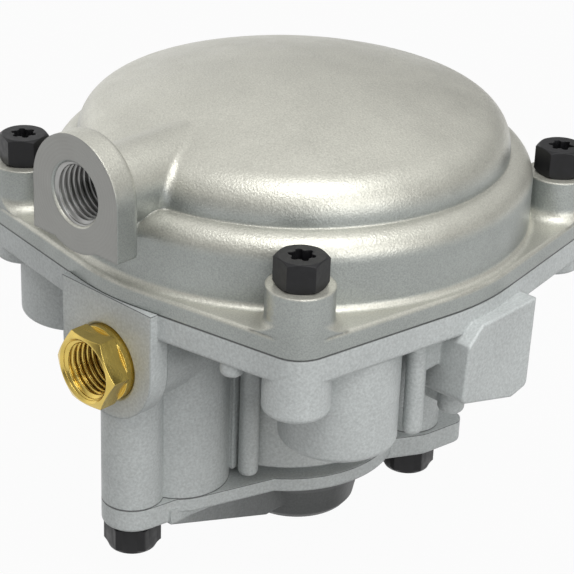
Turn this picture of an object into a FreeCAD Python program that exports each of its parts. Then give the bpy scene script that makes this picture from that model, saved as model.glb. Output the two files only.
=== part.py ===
"""Relay emergency valve of a trailer's air brake.

A domed die-cast cover holds the relay piston. It stands on a cast body with a
square flange, and a bottom cover closes the body and carries the exhaust.
The frame's origin is on the dome's axis, at the level of the exhaust rim, and
+Z points up through the dome. -X is the side of the two small threaded ports.
"""
import FreeCAD, Part
import math
import os
from FreeCAD import Vector

X_AXIS = Vector(1, 0, 0)
Y_AXIS = Vector(0, 1, 0)
Z_AXIS = Vector(0, 0, 1)
CENTRE = Vector(0, 0, 0)

# Levels: every height below is counted from the exhaust rim
BODY_DEPTH = 53.0
BOWL_DEPTH = 21.3
PARTING_Z = BODY_DEPTH + BOWL_DEPTH

# Clearances between pieces
RUNNING_GAP = 0.06
PISTON_GAP = 0.45
BOLT_HOLE_GAP = 0.3
THREAD_GAP = 0.05
SEAL_GAP = 0.05
GLAND_GAP = 0.1

# Screws: M6 with a 10 mm hexagon and a star socket
BOLT_R = 3.0
HEX_FLAT = 10.0
HEAD_HEIGHT = 6.5
HEAD_CHAMFER = 0.9
SOCKET_DEPTH = 3.2
SOCKET_CORE_R = 2.15
SOCKET_LOBE_R = 0.75
SOCKET_LOBES = 6
HEX_TURN = 13.0

# Flange with a bulged square outline; its screws follow the outline
EAR_R = 7.25
FLANGE_R = 56.6
SIDE_BULGE = 6.35
BOLT_HALF_SPACING = FLANGE_R - SIDE_BULGE - EAR_R
COVER_FLANGE = 4.2
BODY_FLANGE = 6.3
CORNER_BOSS_TOP = 13.7
CORNER_BOSS_DEPTH = 9.5
FRONT_BOSS_DEPTH = 15.0
FOOT_FLARE = 3.0
EDGE_ROUND = 0.9
BOSS_ROUND = 1.3
COVER_BOLT_LENGTH = 22.0

# Dome, from the parting plane up
FLANGE_LEDGE = 2.3
RING_R = FLANGE_R - FLANGE_LEDGE
RING_ROUND = 5.5
DOME_R = RING_R - RING_ROUND
DOME_TOP = 37.8
RING_SINK = 17.5
RING_TOP = DOME_TOP - RING_SINK
CROWN_R = 121.0
CROWN_WALL = 3.8
CHAMBER_R = DOME_R - CROWN_WALL
SHOULDER_R = 9.0
RING_FOOT_ROUND = 1.6

# Service port on the cover
SERVICE_PROUD = 8.6
SERVICE_FACE_X = -(FLANGE_R + SERVICE_PROUD)
SERVICE_HALF_WIDTH = 12.9
SERVICE_BLOCK_DEPTH = 6.5
SERVICE_BLOCK_BOTTOM = 14.4
SERVICE_BARREL_R = 8.8
BARREL_SINK = 4.6
SERVICE_BARREL_Z = DOME_TOP - BARREL_SINK - SERVICE_BARREL_R
SERVICE_RISE = 1.3
SERVICE_Z = SERVICE_BARREL_Z + SERVICE_RISE
SERVICE_BARREL_LAP = 1.0
SERVICE_BARREL_END = SERVICE_BARREL_LAP - math.sqrt(CROWN_R ** 2 - (CROWN_R - BARREL_SINK) ** 2)
SERVICE_WEB_HALF = 6.2
SERVICE_PASSAGE_R = 3.4
SERVICE_ROUND = 1.8
BARREL_ROUND = 2.2

# Quarter-inch and three-eighths pipe threads: largest radii, and depths
PORT_SMALL_R = 6.86
PORT_SMALL_DEPTH = 13.0
PORT_MOUTH_CHAMFER = 0.5
PORT_MEDIUM_R = 8.55
PORT_MEDIUM_DEPTH = 12.0
PORT_LARGE_R = 13.3
PORT_LARGE_DEPTH = 15.0

# Emergency port on the body, with its reducing bushing
PAD_PROUD = 0.3
PAD_FACE_X = -(FLANGE_R + PAD_PROUD)
PAD_R = 14.0
PAD_DROP = 15.0
PAD_DEPTH = 5.0
EMERGENCY_DROP = 15.9
BARREL_R = 12.2
BUSHING_HEX_FLAT = 15.875
BUSHING_HEX_DEPTH = 5.0
BUSHING_COLLAR = 1.6
BUSHING_FRONT_X = PAD_FACE_X - BUSHING_COLLAR - BUSHING_HEX_DEPTH
BUSHING_INSERT = 10.0
BUSHING_BEVEL = 0.8
BUSHING_TURN = 30.0

# Columns of the body: the emergency cylinder, its screw column and the rest
SCREW_COLUMN_INSET = 7.3
SCREW_COLUMN_X = -(FLANGE_R - SCREW_COLUMN_INSET)
SCREW_COLUMN_R = 7.0
CYLINDER_PITCH = 14.3
CYLINDER_X = SCREW_COLUMN_X + CYLINDER_PITCH
CYLINDER_R = 11.7
REAR_SCREW_X = 22.9
REAR_SCREW_Y = 20.6
REAR_COLUMN_R = 7.0
CORE_R = 26.5
CORE_NECK_R = 22.0
CORE_NECK_HEIGHT = 2.6
CHECK_X = -25.7
CHECK_INSET = 17.0
CHECK_Y = -(FLANGE_R - CHECK_INSET)
CHECK_COLUMN_R = 13.0
CHECK_COLUMN_DROP = 29.4
CHECK_WEB_HALF = 5.0
SUPPLY_INSET = 22.6
SUPPLY_X = CYLINDER_X
SUPPLY_Y = FLANGE_R - SUPPLY_INSET
SUPPLY_R = 13.4
SUPPLY_DROP = 23.0
UNDER = 4.0
SIDE_PILLAR_R = 3.0
SIDE_PILLAR_INSET = 6.4
SIDE_PILLAR_Y = -(FLANGE_R - SIDE_PILLAR_INSET)
SIDE_PILLAR_DROP = 29.0
RIB_HALF = 2.0
WALL_PILLAR_R = 2.2
WALL_PILLAR_X = -13.2
WALL_PILLAR_DROP = 29.4
WALL_WEB_DROP = 13.9
WALL_WEB_HALF = 1.8
WALL_INSET = 12.1
WALL_BACK_Y = -(FLANGE_R - WALL_INSET)
EJECTOR_R = 2.3
EJECTOR_X = -25.6
EJECTOR_Y = -13.2
LUG_R = 2.6
LUG_INSET = 7.4
LUG_X = -(FLANGE_R - LUG_INSET)
LUG_Y = -30.4
LUG_DROP = 9.6

# Undrilled port boss on the -Y side: outline as x and drop
SIDE_PROUD = 2.9
SIDE_FACE_Y = -(FLANGE_R + SIDE_PROUD)
SIDE_BACK_Y = -30.0
SIDE_BOSS_OUTLINE = [(-7.2, 7.4), (-3.0, 3.5), (15.6, 3.2), (14.9, 24.6), (9.6, 25.8), (-8.2, 20.8)]
SIDE_BOSS_LOW = 15.0
SIDE_BOSS_ROUND = 1.6

# Ports on the hidden sides, and the passages
RESERVOIR_PROUD = 8.6
RESERVOIR_FACE_X = FLANGE_R + RESERVOIR_PROUD
RESERVOIR_DROP = 34.5
RESERVOIR_BOSS_R = 17.0
RESERVOIR_PASSAGE_R = 5.0
DELIVERY_PROUD = 2.9
DELIVERY_FACE_Y = FLANGE_R + DELIVERY_PROUD
DELIVERY_PORT_X = 4.0
DELIVERY_PORT_DROP = 20.4
DELIVERY_BOSS_R = 12.5
PASSAGE_R = 4.5
FEED_R = 1.8
FEED_DROP = 3.8
BALANCE_R = 1.5
BALANCE_PITCH = 10.8

# Seals between the castings
COVER_SEAL_LAND = 3.6
COVER_SEAL_R = CHAMBER_R + COVER_SEAL_LAND
COVER_SEAL_SECTION = 1.3
BOTTOM_SEAL_R = 19.4
BOTTOM_SEAL_SECTION = 1.25

# Bottom cover
COVER_RIM = 3.4
COVER_EAR = 5.8
RIM_R = 27.0
LINK_INSET = 4.0
EXHAUST_X = 4.9
EXHAUST_R = 14.3
EXHAUST_BORE_R = 11.6
BOWL_PROFILE = [(22.0, BODY_DEPTH - 1.0), (22.0, BODY_DEPTH + 3.4), (18.6, BODY_DEPTH + 8.5),
                (16.2, BODY_DEPTH + 13.0), (15.2, BODY_DEPTH + 17.0),
                (EXHAUST_R + 0.3, PARTING_Z - 1.3), (EXHAUST_R - 0.7, PARTING_Z)]
RAMP_HALF = 8.5
RAMP_SETBACK = 4.0
RAMP_START_X = SCREW_COLUMN_X + RAMP_SETBACK
RAMP_END_X = -14.0
RAMP_DEPTH = 17.0
RAMP_END_DROP = BODY_DEPTH + RAMP_DEPTH
REAR_EAR_R = 9.0
REAR_EAR_Y = 19.6
REAR_CORNER_X = 30.0
REAR_CORNER_Y = 26.3
REAR_CORNER_R = 3.5
REAR_ROOT_R = 15.0
BOWL_STEP = 1.4
BOTTOM_BOLT_LENGTH = 22.0
BOWL_R = 12.4
WEB_BELOW_SEAM = 11.5
EXHAUST_WEB_DROP = BODY_DEPTH + WEB_BELOW_SEAM
EXHAUST_WEB = 2.2
EXHAUST_HOLES = 6
EXHAUST_HOLE_R = 2.1
EXHAUST_HOLE_PITCH = 7.0
SPIGOT_HEIGHT = 3.6
SPIGOT_RING_RISE = 1.8
SPIGOT_RING_DROP = BODY_DEPTH - SPIGOT_RING_RISE
DIAPHRAGM_DROP = EXHAUST_WEB_DROP + EXHAUST_WEB
DIAPHRAGM = 1.6
DIAPHRAGM_WASHER = 0.8
WASHER_R = 4.6
RIVET_R = 1.5
RIVET_HEAD_R = 2.9
SCREW_END = 1.6

# Relay piston and the bore of its stem
PISTON_TOP = 17.5
PISTON_BOTTOM = 6.0
PISTON_PLATE = 3.0
PISTON_WALL = 4.5
PISTON_RING_SECTION = 1.75
PISTON_RING_LEVEL = 11.0
HUB_R = 8.5
STEM_R = 5.0
STEM_BORE_R = 3.4
STEM_RING_SECTION = 1.0
STEM_RING_DROP = 8.0
RELAY_STROKE = 4.0
VALVE_STROKE = 2.5
EXHAUST_GAP = RELAY_STROKE - VALVE_STROKE

# Inlet and exhaust valve in the body's central bore
DELIVERY_CHAMBER_R = 14.0
DELIVERY_CHAMBER_TOP = 15.0
SEAT_LEVEL = 26.0
SEAT_WEB = 3.0
SEAT_HOLE_R = 7.0
SEAT_LIP = 1.0
SUPPLY_CHAMBER_R = 15.0
VALVE_TUBE_R = 5.5
VALVE_BORE_R = 3.6
VALVE_FACE_R = 10.2
VALVE_RUBBER = 2.5
VALVE_FLANGE = 1.5
VALVE_TUBE_END = 52.0
GUIDE_TOP = 42.5
GUIDE_HEIGHT = 7.0
GUIDE_FLANGE = 2.6
GUIDE_RING_SECTION = 1.1
GUIDE_RING_DROP = 45.0
CLIP_THICKNESS = 1.2
CLIP_DROP = GUIDE_TOP + GUIDE_HEIGHT
CLIP_GROOVE = 0.9
CLIP_WIDTH = 2.6

# Emergency piston in the screw-side cylinder
EMERGENCY_BORE_R = 8.0
EMERGENCY_BORE_TOP = 27.0
EMERGENCY_PISTON_TOP = 31.0
EMERGENCY_PISTON_HEIGHT = 9.0
EMERGENCY_SECTION = 1.1
EMERGENCY_RING_LEVEL = 2.6
EMERGENCY_STEM = 3.0
EMERGENCY_STEM_R = 2.4
EMERGENCY_CROWN = 5.2
EMERGENCY_SPRING_TOP = EMERGENCY_PISTON_TOP + EMERGENCY_CROWN
EMERGENCY_RECESS_R = 6.4

# Check valve in the delivery column
CHECK_BORE_R = 8.0
CHECK_BORE_TOP = 8.5
CHECK_PLUG = 5.0
CHECK_RUBBER = 1.6
CHECK_BODY = 2.0
CHECK_STEM_R = 3.2
CHECK_FACE_R = 6.4
CHECK_OUTLET_LEVEL = 8.0
CHECK_OUTLET_DROP = 40.0

# Springs: wire radius, mean coil radius and turns
RELAY_SPRING = (0.9, 13.0, 3)
VALVE_SPRING = (0.6, 7.4, 3)
EMERGENCY_SPRING = (0.6, 5.1, 4)
CHECK_SPRING = (0.45, 4.2, 4)
WIRE_SIDES = 8


def at(x, y, drop):
    """Point at a distance below the parting plane."""
    return Vector(x, y, PARTING_Z - drop)


def post(radius, x, y, low, high):
    """Upright cylinder between two drops below the parting plane."""
    return Part.makeCylinder(radius, low - high, at(x, y, low), Z_AXIS)


def rod_x(radius, y, drop, x_from, x_to):
    """Cylinder along X."""
    return Part.makeCylinder(radius, x_to - x_from, at(x_from, y, drop), X_AXIS)


def rod_y(radius, x, drop, y_from, y_to):
    """Cylinder along Y."""
    return Part.makeCylinder(radius, y_to - y_from, at(x, y_from, drop), Y_AXIS)


def block(x_from, x_to, y_from, y_to, low, high):
    """Box between two drops below the parting plane."""
    return Part.makeBox(x_to - x_from, y_to - y_from, low - high, at(x_from, y_from, low))


def revolved(points, x=0.0, y=0.0):
    """Solid of revolution of straight pieces; points are (radius, drop)."""
    corners = [Vector(radius, 0, PARTING_Z - drop) for radius, drop in points]
    outline = Part.makePolygon(corners + [corners[0]])
    solid = Part.Face(outline).revolve(CENTRE, Z_AXIS, 360)
    solid.translate(Vector(x, y, 0))
    return solid


def ring(section, mean_radius, x, y, drop):
    """O-ring of round section lying flat."""
    return Part.makeTorus(mean_radius, section, at(x, y, drop), Z_AXIS)


def polygon_plate(corners, thickness, direction):
    """Prism over a closed polygon."""
    outline = Part.makePolygon(corners + [corners[0]])
    return Part.Face(outline).extrude(direction * thickness)


def hexagon(flat, height, base, axis, turn=0.0):
    """Hexagonal prism with one pair of flats square to the turn direction."""
    corner_r = flat / math.sqrt(3)
    plate = Part.makePolygon([
        Vector(corner_r * math.cos(math.radians(60 * i + turn)),
               corner_r * math.sin(math.radians(60 * i + turn)), 0)
        for i in range(7)
    ])
    prism = Part.Face(plate).extrude(Vector(0, 0, height))
    prism.Placement = FreeCAD.Placement(base, FreeCAD.Rotation(Z_AXIS, axis))
    return prism


def hull_face(circles, drop):
    """Face bounded by arcs and common tangents of circles given anticlockwise."""
    count = len(circles)
    normals = []
    for i in range(count):
        x1, y1, r1 = circles[i]
        x2, y2, r2 = circles[(i + 1) % count]
        reach = math.hypot(x2 - x1, y2 - y1)
        along = ((x2 - x1) / reach, (y2 - y1) / reach)
        lean = (r1 - r2) / reach
        side = math.sqrt(1 - lean * lean)
        normals.append((along[0] * lean + along[1] * side, along[1] * lean - along[0] * side))
    edges = []
    for i in range(count):
        x, y, r = circles[i]
        before = normals[i - 1]
        after = normals[i]
        a = math.atan2(before[1], before[0])
        b = math.atan2(after[1], after[0])
        while b < a:
            b += 2 * math.pi
        start, middle, end = [at(x + r * math.cos(t), y + r * math.sin(t), drop)
                              for t in (a, (a + b) / 2, b)]
        edges.append(Part.Arc(start, middle, end).toShape())
        xn, yn, rn = circles[(i + 1) % count]
        following = at(xn + rn * after[0], yn + rn * after[1], drop)
        edges.append(Part.makeLine(end, following))
    return Part.Face(Part.Wire(edges))


def hull_plate(circles, low, high):
    """Upright plate over a hull of circles."""
    return hull_face(circles, low).extrude(Vector(0, 0, low - high))


def rounded(shape, radius, wanted):
    """Round the edges whose middle point and box pass a test."""
    edges = [edge for edge in shape.Edges if wanted(edge)]
    if not edges:
        raise ValueError("no edge to round")
    return shape.makeFillet(radius, edges)


def soft_post(radius, x, y, low, high):
    """Upright post with a rounded lower end."""
    solid = post(radius, x, y, low, high)
    return rounded(solid, BOSS_ROUND, lambda edge: edge.BoundBox.ZMax < PARTING_Z - low + SEAL_GAP)


def soft_plate(circles, low, high, top_edge):
    """Plate over a hull of circles with its upper or lower outline rounded."""
    level = PARTING_Z - (high if top_edge else low)
    plate = hull_plate(circles, low, high)
    return rounded(plate, EDGE_ROUND, lambda edge: abs(edge.BoundBox.ZMax - level) < SEAL_GAP
                   and abs(edge.BoundBox.ZMin - level) < SEAL_GAP)


def flared_foot(x, y):
    """Concave foot of a corner boss, kept inside the flange's outline."""
    low = -COVER_FLANGE
    corner = Vector(EAR_R + FOOT_FLARE, 0, PARTING_Z - low + FOOT_FLARE)
    bend = math.cos(math.pi / 4) * FOOT_FLARE
    start = Vector(EAR_R, 0, corner.z)
    end = Vector(corner.x, 0, PARTING_Z - low)
    inner = EAR_R - FOOT_FLARE
    edges = [
        Part.Arc(start, corner - Vector(bend, 0, bend), end).toShape(),
        Part.makeLine(end, Vector(inner, 0, end.z)),
        Part.makeLine(Vector(inner, 0, end.z), Vector(inner, 0, start.z)),
        Part.makeLine(Vector(inner, 0, start.z), start),
    ]
    solid = Part.Face(Part.Wire(edges)).revolve(CENTRE, Z_AXIS, 360)
    solid.translate(Vector(x, y, 0))
    return solid.common(hull_plate(flange_circles(), low, low - FOOT_FLARE))


def corner_points():
    """Centres of the four flange screws, front corner first."""
    a = BOLT_HALF_SPACING
    return [(-a, -a), (a, -a), (a, a), (-a, a)]


def flange_circles():
    """Circles whose hull is the bulged square of both flanges."""
    circles = []
    for x, y in corner_points():
        circles.append((x, y, EAR_R))
        circles.append((0.0, 0.0, FLANGE_R))
    return circles


def bottom_screws():
    """Centres of the three screws of the bottom cover."""
    return [(SCREW_COLUMN_X, 0.0), (REAR_SCREW_X, -REAR_SCREW_Y), (REAR_SCREW_X, REAR_SCREW_Y)]


def dome_profile():
    """Outer outline of the dome and its ring, from the axis down to the parting plane."""
    top = PARTING_Z + DOME_TOP
    crown_centre = Vector(0, 0, top - CROWN_R)
    shoulder_x = DOME_R - SHOULDER_R
    reach = CROWN_R - SHOULDER_R
    shoulder_z = crown_centre.z + math.sqrt(reach ** 2 - shoulder_x ** 2)
    shoulder = Vector(shoulder_x, 0, shoulder_z)
    lean = math.atan2(shoulder_z - crown_centre.z, shoulder_x)

    def crown(angle):
        return crown_centre + Vector(math.cos(angle), 0, math.sin(angle)) * CROWN_R

    def shoulder_arc(angle):
        return shoulder + Vector(math.cos(angle), 0, math.sin(angle)) * SHOULDER_R

    ledge = PARTING_Z + RING_TOP
    foot = PARTING_Z + COVER_FLANGE
    round_centre = Vector(RING_R - RING_ROUND, 0, ledge - RING_ROUND)
    start = Vector(DOME_R, 0, round_centre.z + math.sqrt(RING_ROUND ** 2
                                                        - (DOME_R - round_centre.x) ** 2))
    middle_angle = math.radians(35)
    middle = round_centre + Vector(math.cos(middle_angle), 0, math.sin(middle_angle)) * RING_ROUND
    side = Vector(RING_R, 0, round_centre.z)
    low_side = Vector(RING_R, 0, foot + RING_FOOT_ROUND)
    foot_middle = Vector(RING_R + RING_FOOT_ROUND * (1 - math.cos(math.pi / 4)), 0,
                         foot + RING_FOOT_ROUND * (1 - math.sin(math.pi / 4)))
    foot_end = Vector(RING_R + RING_FOOT_ROUND, 0, foot)
    base = Vector(RING_R + RING_FOOT_ROUND, 0, PARTING_Z)
    return [
        Part.Arc(Vector(0, 0, top), crown((lean + math.pi / 2) / 2), crown(lean)).toShape(),
        Part.Arc(shoulder_arc(lean), shoulder_arc(lean / 2), shoulder_arc(0)).toShape(),
        Part.makeLine(shoulder_arc(0), start),
        Part.Arc(start, middle, side).toShape(),
        Part.makeLine(side, low_side),
        Part.Arc(low_side, foot_middle, foot_end).toShape(),
        Part.makeLine(foot_end, base),
        Part.makeLine(base, Vector(0, 0, PARTING_Z)),
        Part.makeLine(Vector(0, 0, PARTING_Z), Vector(0, 0, top)),
    ]


def chamber_tool():
    """Hollow of the dome, with the same shoulder as the outside."""
    crown_r = CROWN_R - CROWN_WALL
    round_r = SHOULDER_R - CROWN_WALL
    crown_centre_z = PARTING_Z + DOME_TOP - CROWN_R
    shoulder_x = CHAMBER_R - round_r
    shoulder_z = crown_centre_z + math.sqrt((crown_r - round_r) ** 2 - shoulder_x ** 2)
    lean = math.atan2(shoulder_z - crown_centre_z, shoulder_x)
    centre = Vector(0, 0, crown_centre_z)
    shoulder = Vector(shoulder_x, 0, shoulder_z)

    def point(origin, radius, angle):
        return origin + Vector(math.cos(angle), 0, math.sin(angle)) * radius

    below = PARTING_Z - 1.0
    edges = [
        Part.makeLine(Vector(0, 0, below), Vector(CHAMBER_R, 0, below)),
        Part.makeLine(Vector(CHAMBER_R, 0, below), point(shoulder, round_r, 0)),
        Part.Arc(point(shoulder, round_r, 0), point(shoulder, round_r, lean / 2),
                 point(shoulder, round_r, lean)).toShape(),
        Part.Arc(point(centre, crown_r, lean), point(centre, crown_r, (lean + math.pi / 2) / 2),
                 point(centre, crown_r, math.pi / 2)).toShape(),
        Part.makeLine(point(centre, crown_r, math.pi / 2), Vector(0, 0, below)),
    ]
    return Part.Face(Part.Wire(edges)).revolve(CENTRE, Z_AXIS, 360)


def service_boss():
    """Round-headed block on a barrel that carries the service port."""
    half = SERVICE_HALF_WIDTH
    rear = SERVICE_FACE_X + SERVICE_BLOCK_DEPTH
    head = rod_x(half, 0, -SERVICE_Z, SERVICE_FACE_X, rear)
    cheek = block(SERVICE_FACE_X, rear, -half, half, -SERVICE_BLOCK_BOTTOM, -SERVICE_Z)
    head = rounded(head.fuse(cheek).removeSplitter(), SERVICE_ROUND,
                   lambda edge: edge.BoundBox.XMin > rear - SEAL_GAP)
    barrel = rod_x(SERVICE_BARREL_R, 0, -SERVICE_BARREL_Z, rear, SERVICE_BARREL_END)
    web = block(rear - 1, -DOME_R, -SERVICE_WEB_HALF, SERVICE_WEB_HALF,
                -SERVICE_BLOCK_BOTTOM, -SERVICE_BARREL_Z)
    return head.fuse([barrel, web]).removeSplitter()


def blend_barrel(solid):
    """Fillet where the service barrel meets the dome and the block."""
    barrel_top = PARTING_Z + SERVICE_BARREL_Z

    def wanted(edge):
        box = edge.BoundBox
        faces = solid.ancestorsOfType(edge, Part.Face)
        kinds = sorted(type(face.Surface).__name__ for face in faces)
        near = box.XMax < SERVICE_BARREL_END + SEAL_GAP and box.XMin > SERVICE_FACE_X + 1
        return near and box.ZMin > barrel_top - 1 and "Cylinder" in kinds and box.YLength > 1

    return rounded(solid, BARREL_ROUND, wanted)


def port_tool(radius, depth, mouth, axis):
    """Tapped hole with a countersunk mouth, cut along an axis from its mouth."""
    hole = Part.makeCylinder(radius, depth, mouth, axis)
    sink = Part.makeCone(radius + PORT_MOUTH_CHAMFER, radius, PORT_MOUTH_CHAMFER, mouth, axis)
    return hole.fuse(sink)


def make_cover():
    """Domed cover with its ring, flange, screw bosses and service port."""
    shell = Part.Face(Part.Wire(dome_profile())).revolve(CENTRE, Z_AXIS, 360)
    flange = soft_plate(flange_circles(), 0, -COVER_FLANGE, True)
    solid = blend_barrel(shell.fuse([flange, service_boss()]).removeSplitter())
    bosses = [post(EAR_R, x, y, 0, -CORNER_BOSS_TOP) for x, y in corner_points()]
    feet = [flared_foot(x, y) for x, y in corner_points()]
    solid = solid.fuse(bosses + feet).removeSplitter()
    solid = solid.cut(chamber_tool())
    holes = [post(BOLT_R + BOLT_HOLE_GAP, x, y, 1, -CORNER_BOSS_TOP - 1) for x, y in corner_points()]
    mouth = at(SERVICE_FACE_X, 0, -SERVICE_Z)
    port = port_tool(PORT_SMALL_R, PORT_SMALL_DEPTH, mouth, X_AXIS)
    passage = rod_x(SERVICE_PASSAGE_R, 0, -SERVICE_Z, SERVICE_FACE_X, -CHAMBER_R + SHOULDER_R)
    return solid.cut(holes + [port, passage])


def emergency_pad():
    """Round-bottomed port pad, flush under the cover's flange, and its barrel."""
    back = PAD_FACE_X + PAD_DEPTH
    disc = rod_x(PAD_R, 0, PAD_DROP, PAD_FACE_X, back)
    cheek = block(PAD_FACE_X, back, -PAD_R, PAD_R, PAD_DROP, 0.0)
    barrel = rod_x(BARREL_R, 0, PAD_DROP, back, CYLINDER_X)
    return disc.fuse([cheek, barrel])


def side_boss():
    """Flat-faced port boss that stands out on the -Y side."""
    corners = [at(x, SIDE_FACE_Y, drop) for x, drop in SIDE_BOSS_OUTLINE]
    plate = polygon_plate(corners, SIDE_BACK_Y - SIDE_FACE_Y, Y_AXIS)
    lowest = PARTING_Z - SIDE_BOSS_LOW
    plate = rounded(plate, SIDE_BOSS_ROUND, lambda edge: edge.BoundBox.ZMax < lowest
                    and edge.BoundBox.YLength > SIDE_BACK_Y - SIDE_FACE_Y - SEAL_GAP)
    front = SIDE_FACE_Y + SEAL_GAP
    return rounded(plate, EDGE_ROUND / 2, lambda edge: edge.BoundBox.YMax < front)


def body_columns():
    """Screw columns, cylinders, ribs and lugs under the body's flange."""
    pieces = [
        post(SCREW_COLUMN_R, SCREW_COLUMN_X, 0, BODY_DEPTH, UNDER),
        post(CYLINDER_R, CYLINDER_X, 0, BODY_DEPTH, UNDER),
        soft_post(CHECK_COLUMN_R, CHECK_X, CHECK_Y, CHECK_COLUMN_DROP, UNDER),
        soft_post(SUPPLY_R, SUPPLY_X, SUPPLY_Y, SUPPLY_DROP, UNDER),
        soft_post(SIDE_PILLAR_R, 0, SIDE_PILLAR_Y, SIDE_PILLAR_DROP, UNDER),
        soft_post(EJECTOR_R, EJECTOR_X, EJECTOR_Y, BODY_DEPTH - CORE_NECK_HEIGHT + 1, UNDER),
        soft_post(LUG_R, LUG_X, LUG_Y, LUG_DROP, UNDER),
        soft_post(WALL_PILLAR_R, WALL_PILLAR_X, SIDE_PILLAR_Y, WALL_PILLAR_DROP, UNDER),
        block(WALL_PILLAR_X, 0, SIDE_PILLAR_Y - WALL_WEB_HALF, SIDE_PILLAR_Y + WALL_WEB_HALF,
              WALL_WEB_DROP, UNDER),
        block(WALL_PILLAR_X, RIB_HALF, WALL_BACK_Y, 0, SIDE_PILLAR_DROP - RIB_HALF, UNDER),
        block(-RIB_HALF, RIB_HALF, SIDE_PILLAR_Y, 0, SIDE_PILLAR_DROP - RIB_HALF, UNDER),
        block(EJECTOR_X - LUG_R, -CORE_NECK_R + LUG_R, EJECTOR_Y + LUG_R, EJECTOR_Y + 2 * LUG_R,
              BODY_DEPTH - CORE_NECK_HEIGHT, UNDER),
    ]
    for side in (-1, 1):
        pieces.append(post(REAR_COLUMN_R, REAR_SCREW_X, side * REAR_SCREW_Y, BODY_DEPTH, UNDER))
    return pieces


def check_web():
    """Web between the core and the check valve's column, for the slanted passage."""
    reach = math.hypot(CHECK_X, CHECK_Y)
    web = block(0, reach, -CHECK_WEB_HALF, CHECK_WEB_HALF, CHECK_COLUMN_DROP, UNDER)
    web.rotate(CENTRE, Z_AXIS, math.degrees(math.atan2(CHECK_Y, CHECK_X)))
    return web


def body_seats():
    """Bores on the main axis: stem guide, delivery chamber, inlet seat and supply chamber."""
    lip_r = SEAT_HOLE_R + SEAT_LIP
    seat_end = SEAT_LEVEL + SEAT_WEB
    return [
        post(STEM_R + RUNNING_GAP, 0, 0, DELIVERY_CHAMBER_TOP + 1, -1),
        stem_gland(),
        post(BALANCE_R, 0, BALANCE_PITCH, DELIVERY_CHAMBER_TOP + 1, -1),
        post(DELIVERY_CHAMBER_R, 0, 0, SEAT_LEVEL, DELIVERY_CHAMBER_TOP),
        post(SEAT_HOLE_R, 0, 0, seat_end + SEAT_LIP + 1, SEAT_LEVEL - 1),
        post(SUPPLY_CHAMBER_R, 0, 0, BODY_DEPTH + 1, seat_end + SEAT_LIP),
        post(SUPPLY_CHAMBER_R, 0, 0, seat_end + SEAT_LIP, seat_end).cut(
            post(lip_r, 0, 0, seat_end + SEAT_LIP, seat_end)),
        post(SUPPLY_CHAMBER_R + CLIP_GROOVE, 0, 0, CLIP_DROP + CLIP_THICKNESS, CLIP_DROP),
    ]


def stem_gland():
    """Groove for the O-ring round the piston's stem."""
    outer = STEM_R + 2 * STEM_RING_SECTION + 2 * SEAL_GAP
    half = STEM_RING_SECTION + GLAND_GAP
    return post(outer, 0, 0, STEM_RING_DROP + half, STEM_RING_DROP - half)


def ring_groove(mean_radius, section, drop):
    """Groove tool in the body's or cover's face for a flat O-ring."""
    outer = post(mean_radius + section + GLAND_GAP, 0, 0, drop + section, drop - section)
    return outer.cut(post(mean_radius - section - GLAND_GAP, 0, 0, drop + section, drop - section))


def check_passages():
    """Feed drilled in the flange, and the slanted outlet into the supply chamber."""
    feed = post(FEED_R, CHECK_X, CHECK_Y, CHECK_BORE_TOP + 1, FEED_DROP)
    riser = post(FEED_R, CYLINDER_X, 0, EMERGENCY_DROP, FEED_DROP)
    start = at(CHECK_X, CHECK_Y, FEED_DROP)
    run = at(CYLINDER_X, 0, FEED_DROP) - start
    drilling = Part.makeCylinder(FEED_R, run.Length, start, run)
    inlet = at(CHECK_X, CHECK_Y, CHECK_BORE_TOP + CHECK_OUTLET_LEVEL)
    outlet = at(0, 0, CHECK_OUTLET_DROP)
    slant = Part.makeCylinder(FEED_R, (outlet - inlet).Length, inlet, outlet - inlet)
    return [feed, riser, drilling, slant]


def body_ports():
    """Emergency, reservoir and delivery ports with their passages."""
    emergency = at(PAD_FACE_X, 0, EMERGENCY_DROP)
    reservoir = at(RESERVOIR_FACE_X, 0, RESERVOIR_DROP)
    delivery = at(DELIVERY_PORT_X, DELIVERY_FACE_Y, DELIVERY_PORT_DROP)
    return [
        port_tool(PORT_MEDIUM_R + THREAD_GAP, PORT_MEDIUM_DEPTH, emergency, X_AXIS),
        rod_x(PASSAGE_R, 0, EMERGENCY_DROP, PAD_FACE_X, CYLINDER_X),
        post(FEED_R, CYLINDER_X, 0, EMERGENCY_BORE_TOP + 1, EMERGENCY_DROP),
        port_tool(PORT_LARGE_R, PORT_LARGE_DEPTH, reservoir, -X_AXIS),
        rod_x(RESERVOIR_PASSAGE_R, 0, RESERVOIR_DROP, SUPPLY_CHAMBER_R - 2, RESERVOIR_FACE_X - 1),
        port_tool(PORT_MEDIUM_R, PORT_MEDIUM_DEPTH, delivery, -Y_AXIS),
        rod_y(PASSAGE_R, DELIVERY_PORT_X, DELIVERY_PORT_DROP, DELIVERY_CHAMBER_R / 2,
              DELIVERY_FACE_Y - 1),
    ]


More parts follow.
